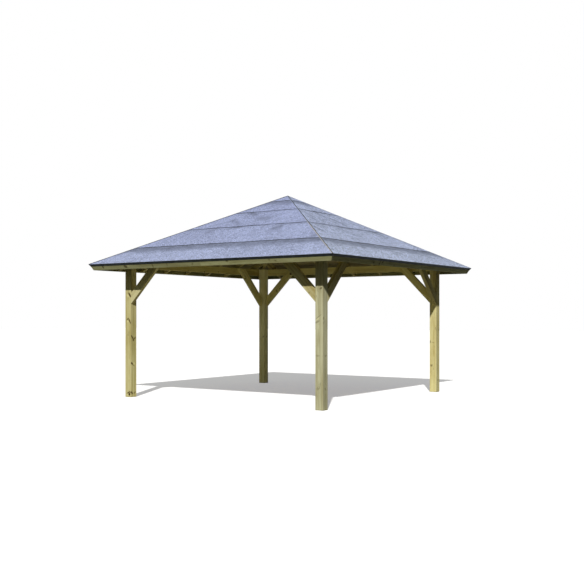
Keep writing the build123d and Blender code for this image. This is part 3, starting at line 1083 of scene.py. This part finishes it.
class GAZEBO_OT_edges(bpy.types.Operator):
    """Make the folded felt of the drip edges and finish the hip strips"""

    bl_idname = "gazebo.edges"
    bl_label = "Drip edges and hip strips"

    def execute(self, context):
        settings = context.scene.gazebo_roof
        edge = edge_felt(settings)
        for turn, side in enumerate(SIDES):
            mesh = Mesh()
            drip_felt(mesh, side, turn)
            made = mesh.piece(f"{side}_drip_felt", edge, [f"{side}_drip_edge"])
            soften(made, 0.0004, segments=1)
        for corner in CORNERS:
            dress(f"{corner}_hip_strip", hip_felt(corner, settings), arris=0.001)
        return {"FINISHED"}


def head(mesh, place, normal, radius, segments, dome, recess, spin):
    """A round screw or nail head: a rim, a low dome, and a star recess where it has one."""
    normal = normal.normalized()
    side = normal.orthogonal().normalized()
    other = normal.cross(side)
    levels = [(1.0, -0.0012), (1.0, 0.0), (0.86, dome * 0.7), (0.50, dome)]
    if recess:
        levels += [(0.44, dome), (0.36, dome - recess)]
    rings = []
    for level, (share, lift) in enumerate(levels):
        ring = []
        for k in range(segments):
            angle = 2 * math.pi * k / segments + spin
            out = side * math.cos(angle) + other * math.sin(angle)
            star = 0.72 if recess and level >= 4 and k % 2 else 1.0
            ring.append(place + normal * lift + out * (radius * share * star))
        rings.append(ring)
    mesh.tube(rings)


def zinc(name, colour, metallic):
    """Dull coated steel with a little rust."""
    material, w, shader, coordinates = new_material(name)
    cloud = w.noise(coordinates["Object"], scale=70.0, detail=3.0)
    w.join(w.mix(w.fade(cloud, 0.6, 0.8, 0.35), colour, paint(110, 80, 50)), shader.inputs["Base Color"])
    w.join(w.fade(cloud, 0.3, 0.7, 0.62, 0.38), shader.inputs["Roughness"])
    shader.inputs["Metallic"].default_value = metallic
    return material


# Places of the screws: in a beam from a post's axis and the beam's middle, in a brace from the lower
# corner of its foot, and in a rafter from the middle of its seat
POST_SCREWS = ((-0.032, 0.030), (0.026, 0.034), (-0.024, -0.034), (0.032, -0.028))
BEAM_END_SCREWS = ((0.090, -0.025), (0.090, 0.027))
BRACE_HEAD_SCREWS = ((0.615, 0.600), (0.560, 0.625))
BRACE_FOOT_SCREWS = (0.050, 0.105)
RAFTER_SCREW = (0.012, 0.022)
# Distance of the fascia's screws from its edges, its joint and its mitres
FASCIA_MARGINS = (0.022, 0.011, 0.030)
# Face and height of the edge nails, and distance of the strip nails from the middle of a strip
EDGE_NAIL_FACE = FASCIA_FACE + 0.0030
EDGE_NAIL_LINE = -0.0325
STRIP_NAIL_LINE = 0.006
# Dome and recess of the heads
FRAME_HEAD = (0.0008, 0.0018)
FLUSH_HEAD = (0.0003, 0.0018)
EDGE_NAIL_HEAD = (0.0009, 0)
STRIP_NAIL_HEAD = (0.0006, 0)


class GAZEBO_OT_fixings(bpy.types.Operator):
    """Make the screws of beams, braces, rafters and fascias and the nails of the roof's edges"""

    bl_idname = "gazebo.fixings"
    bl_label = "Fixings"

    def execute(self, context):
        sizes = context.scene.gazebo_fixings
        self.chance = random.Random(DRAWS["fixing"])
        plated = zinc("plated screw", paint(150, 140, 96), 0.35)
        coated = zinc("coated nail", paint(50, 53, 54), 0.4)
        for side in SIDES:
            space = slope_space(side)
            self.fix(f"{side}_frame_screws", side_space(side), self.frame_screws(side), sizes.frame_head,
                     FRAME_HEAD, plated, "frame_timber")
            self.fix(f"{side}_fascia_screws", space, self.fascia_screws(), sizes.board_head,
                     FLUSH_HEAD, plated, "fascia_timber")
            self.fix(f"{side}_edge_nails", space, self.edge_nails(sizes.nail_spacing), sizes.nail_head,
                     EDGE_NAIL_HEAD, coated, "edge_felt")
        for corner in CORNERS:
            space = hip_space(corner, -STRIP_HEIGHT / math.cos(PITCH))
            self.fix(f"{corner}_strip_nails", space, self.strip_nails(sizes.nail_spacing), sizes.nail_head,
                     STRIP_NAIL_HEAD, coated, "hip_strip")
        return {"FINISHED"}

    def fix(self, name, space, heads, diameter, shape, material, slot):
        """One piece of like heads, each with its place, the way it faces and its share of the diameter."""
        mesh = Mesh()
        segments = bpy.context.scene.gazebo_fixings.segments
        for place, normal, share in heads:
            out = space.to_3x3() @ Vector(normal)
            spin = self.chance.uniform(0, 1)
            head(mesh, space @ Vector(place), out, diameter / 2 * share, segments, *shape, spin)
        mesh.piece(name, material)

    def frame_screws(self, side):
        """Beams to posts, braces to beams and posts, and rafters to beams."""
        middle = (BEAM_TOP + BEAM_BOTTOM) / 2
        for end in (-1, 1):
            spots = [(end * POST_CENTRE + across, up) for across, up in POST_SCREWS]
            if side in ("front", "back"):
                spots += [(end * (POST_CENTRE + out), up) for out, up in BEAM_END_SCREWS]
            for along, up in spots:
                yield (BEAM_OUTER, along, middle + up), (1, 0, 0), 1.0
            inner_face = BEAM_INNER - BRACE_THICKNESS
            foot = end * POST_INNER
            for run, rise in BRACE_HEAD_SCREWS:
                yield (inner_face, foot - end * run, BRACE_FOOT + rise), (-1, 0, 0), 1.0
            for run in BRACE_FOOT_SCREWS:
                place = (inner_face + BRACE_THICKNESS / 2, foot - end * run, BRACE_FOOT + run)
                yield place, (0, -end, -1), 1.0
        out, up = RAFTER_SCREW
        for number in range(-3, 4):
            for cheek in (-1, 1):
                along = number * RAFTER_SPACING + cheek * RAFTER_WIDTH / 2
                yield ((BEAM_INNER + BEAM_OUTER) / 2 + cheek * out, along, BEAM_TOP + up), (0, cheek, 0), 0.7

    def fascia_screws(self):
        """Two screws into each rafter end, on each side of the joint and near each mitre."""
        edge, joint, end = FASCIA_MARGINS
        reach = mitre(FASCIA_FACE, -RAFTER_BOTTOM) - end
        rafters = [number * RAFTER_SPACING for number in range(-3, 4) if number]
        for along in (*rafters, -joint, joint, -reach, reach):
            for height in (-RAFTER_TOP - edge, -RAFTER_BOTTOM + edge):
                yield (FASCIA_FACE, along + self.chance.uniform(-0.003, 0.003), height), (1, 0, 0), 1.0

    def edge_nails(self, spacing):
        """Clout nails along the face of the drip edge."""
        reach = mitre(SLOPE_LENGTH, -DECK_TOP) - 0.05
        count = round(2 * reach / spacing)
        for number in range(count + 1):
            along = -reach + 2 * reach * number / count + self.chance.uniform(-0.006, 0.006)
            height = EDGE_NAIL_LINE + self.chance.uniform(-0.002, 0.002)
            yield (EDGE_NAIL_FACE, along, height), (1, 0, 0), 1.0

    def strip_nails(self, spacing):
        """Clout nails down a hip strip, on one flank and the other in turn."""
        length = EAVE_HALF * math.sqrt(2) * math.sqrt(1 + HIP_FALL ** 2)
        count = round((length - 0.1) / spacing)
        for number in range(count):
            along = 0.06 + (length - 0.12) * number / (count - 1) + self.chance.uniform(-0.006, 0.006)
            flank = 1 if number % 2 else -1
            place = (along, flank * STRIP_NAIL_LINE, -STRIP_NAIL_LINE * HIP_FALL)
            yield place, (0, flank * HIP_FALL, 1), 0.8


# Stage

CAMERA_PLACE = (8.359, -12.164, 1.293)
CAMERA_TURN = math.radians(34.218)
PHOTO_SIZE = 584
HORIZON_ROW = 315.78
LIGHT_PATH = Vector((-0.392, 0.696, -0.625))
FLOOR_REACH = 60.0


class GAZEBO_OT_stage(bpy.types.Operator):
    """Set the floor, the surroundings, the sun and the camera"""

    bl_idname = "gazebo.stage"
    bl_label = "Stage"

    def execute(self, context):
        settings = context.scene.gazebo_stage
        self.floor(settings)
        self.surroundings(context, settings)
        lamp = bpy.data.lights.new("sun", "SUN")
        lamp.energy = settings.sun
        lamp.angle = math.radians(1.2)
        lamp.color = (1.0, 0.985, 0.955)
        new_object("sun", lamp).rotation_euler = LIGHT_PATH.to_track_quat("-Z", "Y").to_euler()
        self.camera(context, settings)
        context.scene.view_settings.view_transform = "Standard"
        return {"FINISHED"}

    def seen(self, w):
        """1 for rays from the camera, and for those by mirror or through glass."""
        path = w.add("ShaderNodeLightPath").outputs
        both = w.math("MAXIMUM", path["Is Camera Ray"], path["Is Glossy Ray"])
        return w.math("MAXIMUM", both, path["Is Transmission Ray"])

    def floor(self, settings):
        """A plain floor, white to the camera where the light falls, that takes the object's shadow."""
        data = bpy.data.meshes.new("floor")
        corners = [(x * FLOOR_REACH, y * FLOOR_REACH, 0) for x, y in CORNERS.values()]
        data.from_pydata(corners, [], [(0, 1, 2, 3)])
        material = bpy.data.materials.new("floor")
        w = cleared(material)
        x, y, _ = w.split(w.vector("ABSOLUTE", w.add("ShaderNodeTexCoord").outputs["Object"]))
        outside = w.fade(w.math("MAXIMUM", x, y), POST_CENTRE - 0.2, POST_CENTRE + 0.2)
        bounce = w.value("ShaderNodeBsdfDiffuse", {"Color": w.mix(outside, settings.under, settings.around)})
        white = w.value("ShaderNodeBsdfDiffuse", {"Color": (0.97, 0.97, 0.97)})
        glow = w.value("ShaderNodeEmission", {"Color": (0.895, 0.891, 1.0), "Strength": settings.glow})
        bright = w.value("ShaderNodeAddShader", {0: white, 1: glow})
        seen = w.value("ShaderNodeMixShader", {0: self.seen(w), 1: bounce, 2: bright})
        back = w.value("ShaderNodeNewGeometry", outlet="Backfacing")
        clear = w.value("ShaderNodeBsdfTransparent")
        both = w.value("ShaderNodeMixShader", {0: back, 1: seen, 2: clear})
        w.add("ShaderNodeOutputMaterial", {"Surface": both})
        data.materials.append(material)
        new_object("floor", data)

    def surroundings(self, context, settings):
        """Even light from all round, less of it from the right, and white behind the object."""
        world = bpy.data.worlds.new("surroundings")
        w = cleared(world)
        seen = self.seen(w)
        to_right, _, _ = w.split(w.add("ShaderNodeTexCoord").outputs["Generated"])
        light = w.fade(to_right, -0.2, 0.8, settings.sky * settings.sky_right, settings.sky)
        colour = w.mix(seen, settings.sky_colour, (1.0, 1.0, 1.0))
        strength = seen + (1.0 - seen) * light
        background = w.value("ShaderNodeBackground", {"Color": colour, "Strength": strength})
        w.add("ShaderNodeOutputWorld", {"Surface": background})
        context.scene.world = world

    def camera(self, context, settings):
        """Camera at the photograph's place, level, its frame shifted up to the roof."""
        data = bpy.data.cameras.new("camera")
        data.sensor_width = 36.0
        data.lens = settings.lens
        data.shift_y = (HORIZON_ROW - PHOTO_SIZE / 2) / PHOTO_SIZE
        camera = new_object("camera", data)
        camera.location = CAMERA_PLACE
        camera.rotation_euler = (math.pi / 2, 0, CAMERA_TURN)
        context.scene.camera = camera


SETTINGS = {
    "gazebo_timber": TimberSettings,
    "gazebo_roof": RoofSettings,
    "gazebo_fixings": FixingSettings,
    "gazebo_stage": StageSettings,
}
OPERATORS = (GAZEBO_OT_posts, GAZEBO_OT_beams, GAZEBO_OT_braces, GAZEBO_OT_rafters, GAZEBO_OT_roof_boards,
             GAZEBO_OT_fascias, GAZEBO_OT_felt, GAZEBO_OT_edges, GAZEBO_OT_fixings, GAZEBO_OT_stage)


class GAZEBO_PT_panel(bpy.types.Panel):
    """The gazebo's sizes, colours and steps"""

    bl_label = "Gazebo"
    bl_idname = "GAZEBO_PT_panel"
    bl_space_type = "VIEW_3D"
    bl_region_type = "UI"
    bl_category = "Gazebo"

    def draw(self, context):
        for label, settings in SETTINGS.items():
            column = self.layout.box().column()
            for prop in settings.__annotations__:
                column.prop(getattr(context.scene, label), prop)
        for operator in OPERATORS:
            self.layout.operator(operator.bl_idname)


def register():
    for kind in (*SETTINGS.values(), *OPERATORS, GAZEBO_PT_panel):
        bpy.utils.register_class(kind)
    for label, settings in SETTINGS.items():
        setattr(bpy.types.Scene, label, PointerProperty(type=settings))


def unregister():
    for label in SETTINGS:
        delattr(bpy.types.Scene, label)
    for kind in (GAZEBO_PT_panel, *OPERATORS[::-1], *list(SETTINGS.values())[::-1]):
        bpy.utils.unregister_class(kind)


def main():
    register()
    for operator in OPERATORS:
        getattr(bpy.ops.gazebo, operator.bl_idname.split(".")[1])()
    bpy.context.view_layer.update()


if __name__ == "__main__":
    main()
